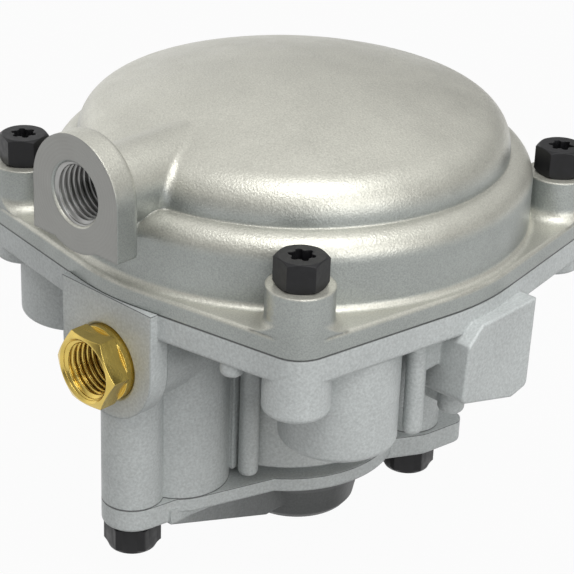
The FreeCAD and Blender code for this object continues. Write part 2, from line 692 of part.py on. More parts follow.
def make_body():
    """Cast body: flange, core, columns, port pads and all its bores."""
    flange = soft_plate(flange_circles(), BODY_FLANGE, 0, False)
    core = post(CORE_R, 0, 0, BODY_DEPTH - CORE_NECK_HEIGHT, UNDER)
    neck = post(CORE_NECK_R, 0, 0, BODY_DEPTH, BODY_DEPTH - CORE_NECK_HEIGHT - 1)
    depths = [FRONT_BOSS_DEPTH] + [CORNER_BOSS_DEPTH] * 3
    bosses = [soft_post(EAR_R, x, y, depth, 3) for (x, y), depth in zip(corner_points(), depths)]
    reservoir = rod_x(RESERVOIR_BOSS_R, 0, RESERVOIR_DROP, CORE_R / 2, RESERVOIR_FACE_X)
    delivery = rod_y(DELIVERY_BOSS_R, DELIVERY_PORT_X, DELIVERY_PORT_DROP, CORE_NECK_R,
                     DELIVERY_FACE_Y)
    castings = [core, neck, emergency_pad(), side_boss(), reservoir, delivery, check_web()]
    solid = flange.fuse(castings + bosses + body_columns()).removeSplitter()
    over = block(-FLANGE_R - EAR_R, FLANGE_R + EAR_R, -2 * FLANGE_R, 2 * FLANGE_R, 0, -EAR_R)
    bores = [over, ring_groove(COVER_SEAL_R, COVER_SEAL_SECTION, 0)]
    bores += body_seats() + body_ports() + check_passages()
    bores.append(post(EMERGENCY_BORE_R, CYLINDER_X, 0, BODY_DEPTH + 1, EMERGENCY_BORE_TOP))
    bores.append(post(CHECK_BORE_R, CHECK_X, CHECK_Y, CHECK_COLUMN_DROP + 1, CHECK_BORE_TOP))
    for (x, y), depth in zip(corner_points(), depths):
        bores.append(post(BOLT_R + THREAD_GAP, x, y, depth + 1, -1))
    for x, y in bottom_screws():
        top = BODY_DEPTH + COVER_EAR - BOTTOM_BOLT_LENGTH - 1
        bores.append(post(BOLT_R + THREAD_GAP, x, y, BODY_DEPTH + 1, top))
    return solid.cut(bores)


def exhaust_bowl():
    """Turned outline of the exhaust bowl, hanging from the bottom cover's rim."""
    top = BODY_DEPTH + 1
    outline = [(radius, max(drop, top)) for radius, drop in BOWL_PROFILE]
    return revolved([(0, top)] + outline + [(0, PARTING_Z)], EXHAUST_X)


def make_bottom_cover():
    """Bottom cover: rim, three ears, exhaust bowl and the ramp to the cylinder's end."""
    seam = BODY_DEPTH
    low = seam + COVER_RIM
    ear = seam + COVER_EAR
    disc = post(RIM_R, 0, 0, low, seam)
    link = hull_plate([(CYLINDER_X, 0, CYLINDER_R), (0, 0, RIM_R - LINK_INSET)], low, seam)
    screw_ear = soft_plate([(SCREW_COLUMN_X, 0, SCREW_COLUMN_R), (CYLINDER_X, 0, CYLINDER_R - 2)],
                           ear, seam, False)
    rear_plate = soft_plate([
        (0, 0, REAR_ROOT_R), (REAR_SCREW_X, -REAR_EAR_Y, REAR_EAR_R),
        (REAR_CORNER_X, -REAR_CORNER_Y, REAR_CORNER_R), (REAR_CORNER_X, REAR_CORNER_Y, REAR_CORNER_R),
        (REAR_SCREW_X, REAR_EAR_Y, REAR_EAR_R),
    ], ear, seam, False)
    ramp_y = -RAMP_HALF
    ramp = polygon_plate([
        at(RAMP_START_X, ramp_y, ear), at(RAMP_END_X, ramp_y, RAMP_END_DROP),
        at(0, ramp_y, RAMP_END_DROP), at(0, ramp_y, low - 1), at(RAMP_START_X, ramp_y, low - 1),
    ], 2 * RAMP_HALF, Y_AXIS)
    solid = disc.fuse([link, screw_ear, rear_plate, ramp, exhaust_bowl()]).removeSplitter()
    hollow = revolved([(0, seam - 1), (BOWL_R, seam - 1), (BOWL_R, EXHAUST_WEB_DROP - BOWL_R / 3),
                       (BOWL_R - BOWL_STEP, EXHAUST_WEB_DROP), (0, EXHAUST_WEB_DROP)], EXHAUST_X)
    web_end = EXHAUST_WEB_DROP + EXHAUST_WEB
    vent = post(EXHAUST_BORE_R, EXHAUST_X, 0, PARTING_Z + 1, web_end)
    slots = []
    for i in range(EXHAUST_HOLES):
        angle = 2 * math.pi * i / EXHAUST_HOLES
        slots.append(post(EXHAUST_HOLE_R, EXHAUST_X + EXHAUST_HOLE_PITCH * math.cos(angle),
                          EXHAUST_HOLE_PITCH * math.sin(angle), web_end + 1, EXHAUST_WEB_DROP - 1))
    centre = post(RIVET_R + THREAD_GAP, EXHAUST_X, 0, web_end + 1, EXHAUST_WEB_DROP - 1)
    solid = solid.cut([hollow, vent, centre, ring_groove(BOTTOM_SEAL_R, BOTTOM_SEAL_SECTION, seam)]
                      + slots)
    spigot = post(EMERGENCY_BORE_R - GLAND_GAP, CYLINDER_X, 0, seam, seam - SPIGOT_HEIGHT)
    groove = post(EMERGENCY_BORE_R, CYLINDER_X, 0, SPIGOT_RING_DROP + EMERGENCY_SECTION + GLAND_GAP,
                  SPIGOT_RING_DROP - EMERGENCY_SECTION - GLAND_GAP)
    core = post(EMERGENCY_BORE_R - 2 * EMERGENCY_SECTION - GLAND_GAP, CYLINDER_X, 0, seam,
                seam - SPIGOT_HEIGHT)
    solid = solid.fuse(spigot.cut(groove.cut(core)))
    holes = [post(BOLT_R + BOLT_HOLE_GAP, x, y, ear + 1, seam - 1) for x, y in bottom_screws()]
    return solid.cut(holes)


def screw(x, y, seat_drop, length, up):
    """Hexagon screw with a star socket; up is 1 when its head points up."""
    axis = Z_AXIS * up
    seat = at(x, y, seat_drop)
    head = hexagon(HEX_FLAT, HEAD_HEIGHT, Vector(0, 0, 0), Z_AXIS, HEX_TURN)
    corner_r = HEX_FLAT / math.sqrt(3)
    cone_low = HEAD_HEIGHT - HEAD_CHAMFER
    crown = Part.makeCone(corner_r + 3 * HEAD_CHAMFER, corner_r - HEAD_CHAMFER, 2 * HEAD_CHAMFER,
                          Vector(0, 0, cone_low - HEAD_CHAMFER), Z_AXIS)
    barrel = Part.makeCylinder(corner_r + 1, cone_low - HEAD_CHAMFER)
    foot = Part.makeCone(HEX_FLAT / 2, corner_r + HEAD_CHAMFER, 2 * HEAD_CHAMFER)
    above = Part.makeCylinder(corner_r + 1, HEAD_HEIGHT, Vector(0, 0, 2 * HEAD_CHAMFER), Z_AXIS)
    head = head.common(barrel.fuse(crown)).common(foot.fuse(above))
    socket = Part.makeCylinder(SOCKET_CORE_R, SOCKET_DEPTH, Vector(0, 0, HEAD_HEIGHT - SOCKET_DEPTH))
    lobes = []
    for i in range(SOCKET_LOBES):
        angle = 2 * math.pi * i / SOCKET_LOBES
        foot_point = Vector(SOCKET_CORE_R * math.cos(angle), SOCKET_CORE_R * math.sin(angle),
                            HEAD_HEIGHT - SOCKET_DEPTH)
        lobes.append(Part.makeCylinder(SOCKET_LOBE_R, SOCKET_DEPTH, foot_point, Z_AXIS))
    solid = head.cut([socket] + lobes)
    solid = solid.fuse(Part.makeCylinder(BOLT_R, length, Vector(0, 0, 0), -Z_AXIS))
    solid.Placement = FreeCAD.Placement(seat, FreeCAD.Rotation(Z_AXIS, axis))
    return solid


def make_cover_screws():
    """Four screws of the domed cover."""
    return Part.makeCompound([screw(x, y, -CORNER_BOSS_TOP, COVER_BOLT_LENGTH, 1)
                              for x, y in corner_points()])


def make_bottom_screws():
    """Three screws that hang from the bottom cover."""
    return Part.makeCompound([screw(x, y, BODY_DEPTH + COVER_EAR, BOTTOM_BOLT_LENGTH, -1)
                              for x, y in bottom_screws()])


def make_bushing():
    """Brass reducing bushing: hexagon, collar and outer thread, tapped through."""
    front = at(BUSHING_FRONT_X, 0, EMERGENCY_DROP)
    corner_r = BUSHING_HEX_FLAT / math.sqrt(3)
    head = hexagon(BUSHING_HEX_FLAT, BUSHING_HEX_DEPTH, front, X_AXIS, BUSHING_TURN)
    face_r = BUSHING_HEX_FLAT / 2 - BUSHING_BEVEL / 2
    front_cone = Part.makeCone(face_r, face_r + 2 * BUSHING_BEVEL, BUSHING_BEVEL, front, X_AXIS)
    rest = Part.makeCylinder(corner_r + 1, BUSHING_HEX_DEPTH - BUSHING_BEVEL,
                             front + X_AXIS * BUSHING_BEVEL, X_AXIS)
    head = head.common(front_cone.fuse(rest))
    stub = rod_x(PORT_MEDIUM_R, 0, EMERGENCY_DROP, BUSHING_FRONT_X + BUSHING_HEX_DEPTH,
                 PAD_FACE_X + BUSHING_INSERT)
    hole = port_tool(PORT_SMALL_R, PORT_SMALL_DEPTH, front, X_AXIS)
    through = rod_x(PASSAGE_R, 0, EMERGENCY_DROP, BUSHING_FRONT_X, PAD_FACE_X + BUSHING_INSERT)
    return head.fuse(stub).cut([hole, through])


def make_relay_piston():
    """Relay piston: plate, skirt with its ring groove, hub and hollow stem."""
    outer = CHAMBER_R - PISTON_GAP
    groove_r = CHAMBER_R - SEAL_GAP - 2 * PISTON_RING_SECTION - GLAND_GAP
    half = PISTON_RING_SECTION + GLAND_GAP
    inner = groove_r - PISTON_WALL / 2
    plate_low = PISTON_TOP - PISTON_PLATE
    stem_end = SEAT_LEVEL + SEAT_WEB + SEAT_LIP - EXHAUST_GAP
    return revolved([
        (0, -PISTON_TOP), (outer, -PISTON_TOP), (outer, -PISTON_RING_LEVEL - half),
        (groove_r, -PISTON_RING_LEVEL - half), (groove_r, -PISTON_RING_LEVEL + half),
        (outer, -PISTON_RING_LEVEL + half), (outer, -PISTON_BOTTOM), (inner, -PISTON_BOTTOM),
        (inner, -plate_low), (HUB_R, -plate_low), (HUB_R, -PISTON_BOTTOM),
        (STEM_R, -PISTON_BOTTOM), (STEM_R, stem_end), (STEM_BORE_R, stem_end),
        (STEM_BORE_R, SEAT_LEVEL - SEAT_WEB), (0, SEAT_LEVEL - SEAT_WEB),
    ])


def make_valve_carrier():
    """Flanged tube that carries the valve's rubber and vents it to the exhaust."""
    top = SEAT_LEVEL + SEAT_WEB + SEAT_LIP + VALVE_RUBBER
    return revolved([
        (VALVE_BORE_R, top), (VALVE_FACE_R, top), (VALVE_FACE_R, top + VALVE_FLANGE),
        (VALVE_TUBE_R, top + VALVE_FLANGE), (VALVE_TUBE_R, VALVE_TUBE_END),
        (VALVE_BORE_R, VALVE_TUBE_END),
    ])


def make_valve_face():
    """Rubber disc that meets the inlet seat and the end of the piston's stem."""
    top = SEAT_LEVEL + SEAT_WEB + SEAT_LIP
    return revolved([(VALVE_BORE_R, top), (VALVE_FACE_R, top), (VALVE_FACE_R, top + VALVE_RUBBER),
                     (VALVE_BORE_R, top + VALVE_RUBBER)])


def make_valve_guide():
    """Guide of the valve's tube, with an O-ring groove round it."""
    outer = SUPPLY_CHAMBER_R - RUNNING_GAP
    inner = VALVE_TUBE_R + RUNNING_GAP
    groove_r = SUPPLY_CHAMBER_R - 2 * GUIDE_RING_SECTION - GLAND_GAP - SEAL_GAP
    half = GUIDE_RING_SECTION + GLAND_GAP
    bottom = GUIDE_TOP + GUIDE_HEIGHT
    return revolved([
        (inner, GUIDE_TOP), (outer, GUIDE_TOP), (outer, GUIDE_RING_DROP - half),
        (groove_r, GUIDE_RING_DROP - half), (groove_r, GUIDE_RING_DROP + half),
        (outer, GUIDE_RING_DROP + half), (outer, bottom), (groove_r, bottom),
        (groove_r - GUIDE_FLANGE, bottom - GUIDE_FLANGE), (VALVE_TUBE_R + GUIDE_FLANGE, bottom),
        (inner, bottom),
    ])


def make_clip():
    """Open retaining ring under the valve guide."""
    outer = SUPPLY_CHAMBER_R + CLIP_GROOVE - SEAL_GAP
    solid = post(outer, 0, 0, CLIP_DROP + CLIP_THICKNESS, CLIP_DROP)
    hole = post(outer - CLIP_WIDTH, 0, 0, CLIP_DROP + CLIP_THICKNESS + 1, CLIP_DROP - 1)
    gap = block(0, outer + 1, -CLIP_WIDTH, CLIP_WIDTH, CLIP_DROP + CLIP_THICKNESS + 1, CLIP_DROP - 1)
    return solid.cut([hole, gap])


def make_emergency_piston():
    """Emergency piston with its stem, ring groove and spring recess."""
    outer = EMERGENCY_BORE_R - RUNNING_GAP
    groove_r = EMERGENCY_BORE_R - SEAL_GAP - 2 * EMERGENCY_SECTION - GLAND_GAP
    half = EMERGENCY_SECTION + GLAND_GAP
    top = EMERGENCY_PISTON_TOP
    bottom = top + EMERGENCY_PISTON_HEIGHT
    ring_at = top + EMERGENCY_RING_LEVEL
    recess_r = EMERGENCY_RECESS_R
    recess = EMERGENCY_SPRING_TOP
    return revolved([
        (0, top - EMERGENCY_STEM), (EMERGENCY_STEM_R, top - EMERGENCY_STEM), (EMERGENCY_STEM_R, top),
        (outer, top), (outer, ring_at - half), (groove_r, ring_at - half), (groove_r, ring_at + half),
        (outer, ring_at + half), (outer, bottom), (recess_r, bottom), (recess_r, recess), (0, recess),
    ], CYLINDER_X)


def make_check_carrier():
    """Check valve's brass body with a boss that centres its spring."""
    outer = CHECK_BORE_R - PISTON_GAP
    top = CHECK_BORE_TOP + CHECK_RUBBER
    return revolved([(0, top), (outer, top), (outer, top + CHECK_BODY), (CHECK_STEM_R, top + CHECK_BODY),
                     (CHECK_STEM_R, top + CHECK_BODY + CHECK_BODY), (0, top + CHECK_BODY + CHECK_BODY)],
                    CHECK_X, CHECK_Y)


def make_check_plug():
    """Plug that closes the check valve's bore and seats its spring."""
    return post(CHECK_BORE_R - THREAD_GAP, CHECK_X, CHECK_Y, CHECK_COLUMN_DROP,
                CHECK_COLUMN_DROP - CHECK_PLUG)


def coil(shape, x, y, low, high):
    """Compression spring between two drops, with open ends and a many-sided wire."""
    wire_r, mean_r, turns = shape
    height = low - high - 2 * wire_r - SEAL_GAP
    helix = Part.makeHelix(height / turns, height, mean_r)
    corners = []
    for i in range(WIRE_SIDES + 1):
        angle = 2 * math.pi * i / WIRE_SIDES
        corners.append(Vector(mean_r + wire_r * math.cos(angle), 0, wire_r * math.sin(angle)))
    section = Part.makePolygon(corners)
    solid = Part.Wire(helix.Edges).makePipeShell([section], True, True)
    solid.translate(at(x, y, low - wire_r - SEAL_GAP / 2))
    return solid


def make_diaphragm_screw():
    """Pan-head screw that holds the exhaust diaphragm under its web."""
    head_top = DIAPHRAGM_DROP + DIAPHRAGM + DIAPHRAGM_WASHER
    return revolved([
        (0, EXHAUST_WEB_DROP - SCREW_END), (RIVET_R, EXHAUST_WEB_DROP - SCREW_END),
        (RIVET_R, head_top), (RIVET_HEAD_R, head_top), (RIVET_HEAD_R, head_top + SCREW_END / 2),
        (RIVET_HEAD_R - SCREW_END / 2, head_top + SCREW_END), (0, head_top + SCREW_END),
    ], EXHAUST_X)


def washer(outer, drop, thickness):
    """Flat ring on the diaphragm's screw."""
    hole = post(RIVET_R + THREAD_GAP, EXHAUST_X, 0, drop + thickness + 1, drop - 1)
    return post(outer, EXHAUST_X, 0, drop + thickness, drop).cut(hole)


def save(name, shape):
    """Write one named piece."""
    shape.exportStep("parts/" + name + ".step")


def save_castings():
    """Cover, body, bottom cover and what fastens and seals them."""
    save("cover", make_cover())
    save("body", make_body())
    save("bottom_cover", make_bottom_cover())
    save("cover_screws", make_cover_screws())
    save("bottom_screws", make_bottom_screws())
    save("port_bushing", make_bushing())
    save("cover_seal", ring(COVER_SEAL_SECTION, COVER_SEAL_R, 0, 0, 0).cut(
        post(FLANGE_R, 0, 0, 0, -COVER_SEAL_SECTION)))
    save("bottom_seal", ring(BOTTOM_SEAL_SECTION, BOTTOM_SEAL_R, 0, 0, BODY_DEPTH).cut(
        post(RIM_R, 0, 0, BODY_DEPTH, BODY_DEPTH - BOTTOM_SEAL_SECTION)))
    save("cylinder_ring", ring(EMERGENCY_SECTION, EMERGENCY_BORE_R - SEAL_GAP - EMERGENCY_SECTION,
                               CYLINDER_X, 0, SPIGOT_RING_DROP))


def save_relay():
    """Relay piston with its rings and return spring."""
    save("relay_piston", make_relay_piston())
    save("piston_ring", ring(PISTON_RING_SECTION, CHAMBER_R - SEAL_GAP - PISTON_RING_SECTION,
                             0, 0, -PISTON_RING_LEVEL))
    save("stem_ring", ring(STEM_RING_SECTION, STEM_R + SEAL_GAP + STEM_RING_SECTION,
                           0, 0, STEM_RING_DROP))
    save("relay_spring", coil(RELAY_SPRING, 0, 0, 0, -(PISTON_TOP - PISTON_PLATE)))


def save_valve():
    """Inlet and exhaust valve with its guide and spring."""
    save("valve_carrier", make_valve_carrier())
    save("valve_face", make_valve_face())
    save("valve_guide", make_valve_guide())
    save("guide_ring", ring(GUIDE_RING_SECTION, SUPPLY_CHAMBER_R - SEAL_GAP - GUIDE_RING_SECTION,
                            0, 0, GUIDE_RING_DROP))
    save("retaining_clip", make_clip())
    flange_low = SEAT_LEVEL + SEAT_WEB + SEAT_LIP + VALVE_RUBBER + VALVE_FLANGE
    save("valve_spring", coil(VALVE_SPRING, 0, 0, GUIDE_TOP, flange_low))


def save_emergency():
    """Emergency piston with its ring and spring."""
    save("emergency_piston", make_emergency_piston())
    save("emergency_ring", ring(EMERGENCY_SECTION, EMERGENCY_BORE_R - SEAL_GAP - EMERGENCY_SECTION,
                                CYLINDER_X, 0, EMERGENCY_PISTON_TOP + EMERGENCY_RING_LEVEL))
    save("emergency_spring", coil(EMERGENCY_SPRING, CYLINDER_X, 0, BODY_DEPTH - SPIGOT_HEIGHT,
                                  EMERGENCY_SPRING_TOP))


def save_check():
    """Check valve of the reservoir with its spring and plug."""
    save("check_carrier", make_check_carrier())
    save("check_face", post(CHECK_FACE_R, CHECK_X, CHECK_Y, CHECK_BORE_TOP + CHECK_RUBBER,
                            CHECK_BORE_TOP))
    save("check_plug", make_check_plug())
    save("check_spring", coil(CHECK_SPRING, CHECK_X, CHECK_Y, CHECK_COLUMN_DROP - CHECK_PLUG,
                              CHECK_BORE_TOP + CHECK_RUBBER + CHECK_BODY))


def save_exhaust():
    """Exhaust diaphragm with its washer and screw."""
    save("exhaust_diaphragm", washer(EXHAUST_BORE_R - PISTON_GAP, DIAPHRAGM_DROP, DIAPHRAGM))
    save("diaphragm_washer", washer(WASHER_R, DIAPHRAGM_DROP + DIAPHRAGM, DIAPHRAGM_WASHER))
    save("diaphragm_screw", make_diaphragm_screw())


def main():
    os.makedirs("parts", exist_ok=True)
    save_castings()
    save_relay()
    save_valve()
    save_emergency()
    save_check()
    save_exhaust()


main()
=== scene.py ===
"""Finishes, pipe threads, light and camera for the relay emergency valve."""
import math

import bpy
import numpy as np
from mathutils import Matrix, Vector


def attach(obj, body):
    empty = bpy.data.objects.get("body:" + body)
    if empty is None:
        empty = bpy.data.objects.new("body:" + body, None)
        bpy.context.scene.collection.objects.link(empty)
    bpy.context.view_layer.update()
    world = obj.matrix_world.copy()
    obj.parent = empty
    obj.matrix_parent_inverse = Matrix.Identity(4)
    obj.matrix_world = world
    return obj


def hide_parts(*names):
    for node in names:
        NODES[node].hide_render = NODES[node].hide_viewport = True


bl_info = {
    "name": "Relay Emergency Valve",
    "version": (1, 0, 0),
    "blender": (4, 5, 0),
    "location": "View3D > Sidebar > Valve",
    "description": "Dresses the packed relay emergency valve and sets its stage",
    "category": "Object",
}

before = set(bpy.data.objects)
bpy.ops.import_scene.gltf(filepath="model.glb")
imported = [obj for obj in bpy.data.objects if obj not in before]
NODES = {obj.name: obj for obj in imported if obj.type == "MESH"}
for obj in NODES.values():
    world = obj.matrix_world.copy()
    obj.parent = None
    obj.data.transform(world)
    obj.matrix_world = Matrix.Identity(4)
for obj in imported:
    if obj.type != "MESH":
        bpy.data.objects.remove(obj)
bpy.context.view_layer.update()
MM = 0.001

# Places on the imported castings.
PARTING_Z = 74.3 * MM  # joint between the cover and the body
SEAM_Z = 21.3 * MM  # joint between the body and the bottom cover
EAR_Z = 15.5 * MM  # seat of the bottom screws' heads
BOTTOM_SCREWS = ((-49.3, 0.0), (22.9, -20.6), (22.9, 20.6))  # x and y in mm
SERVICE_AXIS_Z = 100.0 * MM
SERVICE_FACE_X = -65.12 * MM  # a hair behind the turned face of the service port

# Radius of each pipe thread at its root, in mm.
QUARTER_INCH = 6.86
THREE_EIGHTHS = 8.55
THREE_QUARTER = 13.3

# Name, slot, finish, then mouth in mm, axis inwards, root radius, pitch setting, depth in mm.
PORT_THREADS = (
    ("service_thread", "cast_cover", "tapped_aluminium",
     (-64.6, 0, 100.0), (1, 0, 0), QUARTER_INCH, "small_pitch", 12.0),
    ("emergency_thread", "brass", "turned_brass",
     (-62.9, 0, 58.4), (1, 0, 0), QUARTER_INCH, "small_pitch", 12.0),
    ("delivery_thread", "cast_body", "tapped_aluminium",
     (4.0, 58.9, 53.9), (0, -1, 0), THREE_EIGHTHS, "small_pitch", 11.0),
    ("reservoir_thread", "cast_body", "tapped_aluminium",
     (64.6, 0, 39.8), (-1, 0, 0), THREE_QUARTER, "large_pitch", 14.0),
)

# Colours of the plain metals.
TURNED_FACE = (0.30, 0.30, 0.285)
TAPPED_ALUMINIUM = (0.40, 0.40, 0.39)
TURNED_ALUMINIUM = (0.74, 0.74, 0.75)
SPRING_WIRE = (0.34, 0.34, 0.36)
ZINC_PLATE = (0.62, 0.63, 0.66)

# Lamps, in metres from the middle of the floor.
KEY_PLACE = (-0.16, -0.28, 0.78)
FRONT_PLACE = (-0.22, -0.80, 0.34)
LAMP_AIM = (0, 0, 0.06)
LAMP_SIZE = 0.5


class CastingSettings(bpy.types.PropertyGroup):
    """Colours and grain of the die castings."""
    cover_colour: bpy.props.FloatVectorProperty(
        name="Cover", description="Shot-blasted skin of the domed cover",
        default=(0.53, 0.525, 0.465), subtype="COLOR", min=0, max=1)
    # Painted shade: the cover's steep walls take this darker, greyer colour in place of the shade
    # that falls on them.
    wall_shade_colour: bpy.props.FloatVectorProperty(
        name="Cover's walls", description="Greyer skin of the steep walls that slid along the die",
        default=(0.34, 0.36, 0.345), subtype="COLOR", min=0, max=1)
    body_colour: bpy.props.FloatVectorProperty(
        name="Body", description="Cooler die-cast skin of the body and bottom cover",
        default=(0.50, 0.525, 0.52), subtype="COLOR", min=0, max=1)
    grain: bpy.props.FloatProperty(
        name="Grain", description="Width of one blasting mark on the cover",
        default=0.36 * MM, subtype="DISTANCE", unit="LENGTH")
    edge_round: bpy.props.FloatProperty(
        name="Edge round", description="Radius of the castings' softened edges",
        default=0.7 * MM, subtype="DISTANCE", unit="LENGTH")


class HardwareSettings(bpy.types.PropertyGroup):
    """Colours of the screws, the brass and the rubber, and the bottom screws' size."""
    black_oxide: bpy.props.FloatVectorProperty(
        name="Black oxide", description="Skin of the hexagon screws",
        default=(0.009, 0.009, 0.010), subtype="COLOR", min=0, max=1)
    brass: bpy.props.FloatVectorProperty(
        name="Brass", description="Turned brass of the bushing and the valves",
        default=(0.70, 0.52, 0.14), subtype="COLOR", min=0, max=1)
    rubber: bpy.props.FloatVectorProperty(
        name="Rubber", description="Seals and valve faces",
        default=(0.022, 0.022, 0.024), subtype="COLOR", min=0, max=1)
    bottom_flat: bpy.props.FloatProperty(
        name="Bottom flats", description="Width across flats of the bottom screws",
        default=11.4 * MM, subtype="DISTANCE", unit="LENGTH")


class ThreadSettings(bpy.types.PropertyGroup):
    """Sizes of the pipe threads in the four ports."""
    small_pitch: bpy.props.FloatProperty(
        name="Small pitch", description="Pitch of the quarter-inch and three-eighths pipe threads",
        default=1.411 * MM, subtype="DISTANCE", unit="LENGTH")
    large_pitch: bpy.props.FloatProperty(
        name="Large pitch", description="Pitch of the three-quarter-inch pipe thread",
        default=1.814 * MM, subtype="DISTANCE", unit="LENGTH")
    depth_share: bpy.props.FloatProperty(
        name="Depth share", description="Depth of the thread as a share of its pitch",
        default=0.66)


class StageSettings(bpy.types.PropertyGroup):
    """Floor and light."""
    floor_colour: bpy.props.FloatVectorProperty(
        name="Floor", description="Floor under its pale glow", default=(0.20, 0.20, 0.20),
        subtype="COLOR", min=0, max=1)
    key_power: bpy.props.FloatProperty(
        name="Key light", description="Power of the large lamp above", default=3.6, unit="POWER")
    side_power: bpy.props.FloatProperty(
        name="Front light", description="Power of the lamp at the front", default=3.0,
        unit="POWER")
    sky: bpy.props.FloatProperty(
        name="Sky", description="Strength of the light from overhead", default=0.85)


def add_node(tree, kind, inputs=None, **settings):
    """New shader node; inputs are values or sockets to link from."""
    node = tree.nodes.new(kind)
    for key, value in settings.items():
        setattr(node, key, value)
    for key, value in (inputs or {}).items():
        if isinstance(value, bpy.types.NodeSocket):
            tree.links.new(value, node.inputs[key])
        else:
            node.inputs[key].default_value = value
    return node


def maths(tree, operation, first, second=0.0, third=0.0):
    """Output of a Math node."""
    node = add_node(tree, "ShaderNodeMath", {0: first, 1: second, 2: third}, operation=operation)
    return node.outputs[0]


def xyz(tree, vector):
    """Sockets of a vector's coordinates, by name."""
    return add_node(tree, "ShaderNodeSeparateXYZ", {0: vector}).outputs


def ramp(tree, value, start, end, low, high, **settings):
    """Value from start..end stretched to low..high and held there."""
    node = add_node(tree, "ShaderNodeMapRange",
                    {"Value": value, "From Min": start, "From Max": end,
                     "To Min": low, "To Max": high}, **settings)
    return node.outputs["Result"]


def noise(tree, place, width, detail=3.0, roughness=0.5):
    """Soft noise whose marks are about as wide as given, in metres."""
    node = add_node(tree, "ShaderNodeTexNoise",
                    {"Vector": place, "Scale": 1.0 / width, "Detail": detail,
                     "Roughness": roughness})
    return node.outputs["Fac"]


def spread(tree, value, low, high):
    """Noise stretched from its usual 0.3..0.7 to low..high."""
    return ramp(tree, value, 0.3, 0.7, low, high)


def opaque(colour):
    """Written colour with its alpha; a socket stays as it is."""
    return colour if isinstance(colour, bpy.types.NodeSocket) else (*colour, 1)


def mixed(tree, factor, first, second, blend_type="MIX"):
    """Colour mixed from two, each written or from a socket."""
    node = add_node(tree, "ShaderNodeMix",
                    {"Factor": factor, "A": opaque(first), "B": opaque(second)},
                    data_type="RGBA", blend_type=blend_type)
    return node.outputs["Result"]


def tint(tree, colour, shade):
    """Colour multiplied by a grey socket."""
    return mixed(tree, 1.0, colour, shade, "MULTIPLY")


def soft_edges(tree, radius):
    """Normal that rounds the edges off."""
    return add_node(tree, "ShaderNodeBevel", {"Radius": radius}, samples=6).outputs[0]


def relief(tree, height, strength, depth, edges=None):
    """Bump normal from a height, over softened edges if they are given."""
    inputs = {"Strength": strength, "Distance": depth, "Height": height}
    if edges is not None:
        inputs["Normal"] = edges
    return add_node(tree, "ShaderNodeBump", inputs).outputs[0]


def fresh_material(name):
    """Material with an empty tree, its shader, and the object coordinates."""
    material = bpy.data.materials.new(name)
    material.use_nodes = True
    tree = material.node_tree
    tree.nodes.clear()
    shader = add_node(tree, "ShaderNodeBsdfPrincipled")
    output = add_node(tree, "ShaderNodeOutputMaterial", {"Surface": shader.outputs[0]})
    output.is_active_output = True
    place = add_node(tree, "ShaderNodeTexCoord").outputs["Object"]
    return material, tree, shader, place


def paint(tree, shader, base, rough, normal, metallic=0.0):
    """Link a shader's colour, roughness and normal, and set how metallic it is."""
    tree.links.new(base, shader.inputs["Base Color"])
    tree.links.new(rough, shader.inputs["Roughness"])
    tree.links.new(normal, shader.inputs["Normal"])
    shader.inputs["Metallic"].default_value = metallic


def seam_shade(tree, place):
    """Factor that darkens a hair's width at the two joints between the castings."""
    dark, dark_within, clear_beyond = 0.22, 0.10 * MM, 0.32 * MM
    level_from = 0.7
    height = xyz(tree, place)["Z"]
    gaps = [maths(tree, "ABSOLUTE", maths(tree, "SUBTRACT", height, level))
            for level in (PARTING_Z, SEAM_Z)]
    nearest = maths(tree, "MINIMUM", gaps[0], gaps[1])
    line = ramp(tree, nearest, dark_within, clear_beyond, dark, 1.0)
    facing = xyz(tree, add_node(tree, "ShaderNodeNewGeometry").outputs["True Normal"])["Z"]
    level_face = maths(tree, "GREATER_THAN", maths(tree, "ABSOLUTE", facing), level_from)
    return maths(tree, "MAXIMUM", line, level_face)


def painted_underside_shade(tree, place):
    """Factor of painted shade that darkens the ramp and exhaust bowl hanging under the ears,
    deepest at the bowl.
    """
    ramp_start, bowl_middle = -42.0 * MM, 2.0 * MM
    ramp_dark, bowl_dark = 0.55, 0.09
    parts = xyz(tree, place)
    ears = ramp(tree, parts["Z"], EAR_Z - 0.9 * MM, EAR_Z + 0.2 * MM, 0.0, 1.0)
    along = ramp(tree, parts["X"], ramp_start, bowl_middle, ramp_dark, bowl_dark)
    return maths(tree, "MAXIMUM", ears, along)


def turned_face(tree, place, base, height):
    """Colour and height with turned metal and its rings on the service port's face."""
    ring_pitch, ring_share = 0.8 * MM, 0.25
    parts = xyz(tree, place)
    up = maths(tree, "SUBTRACT", parts["Z"], SERVICE_AXIS_Z)
    across = maths(tree, "MULTIPLY", parts["Y"], parts["Y"])
    distance = maths(tree, "SQRT", maths(tree, "MULTIPLY_ADD", up, up, across))
    mask = maths(tree, "LESS_THAN", parts["X"], SERVICE_FACE_X)
    rings = maths(tree, "SINE", maths(tree, "MULTIPLY", distance, 2 * math.pi / ring_pitch))
    base = mixed(tree, mask, base, TURNED_FACE)
    height = add_node(tree, "ShaderNodeMix", {
        "Factor": mask, "A": height, "B": maths(tree, "MULTIPLY", rings, ring_share)})
    return base, height.outputs["Result"]


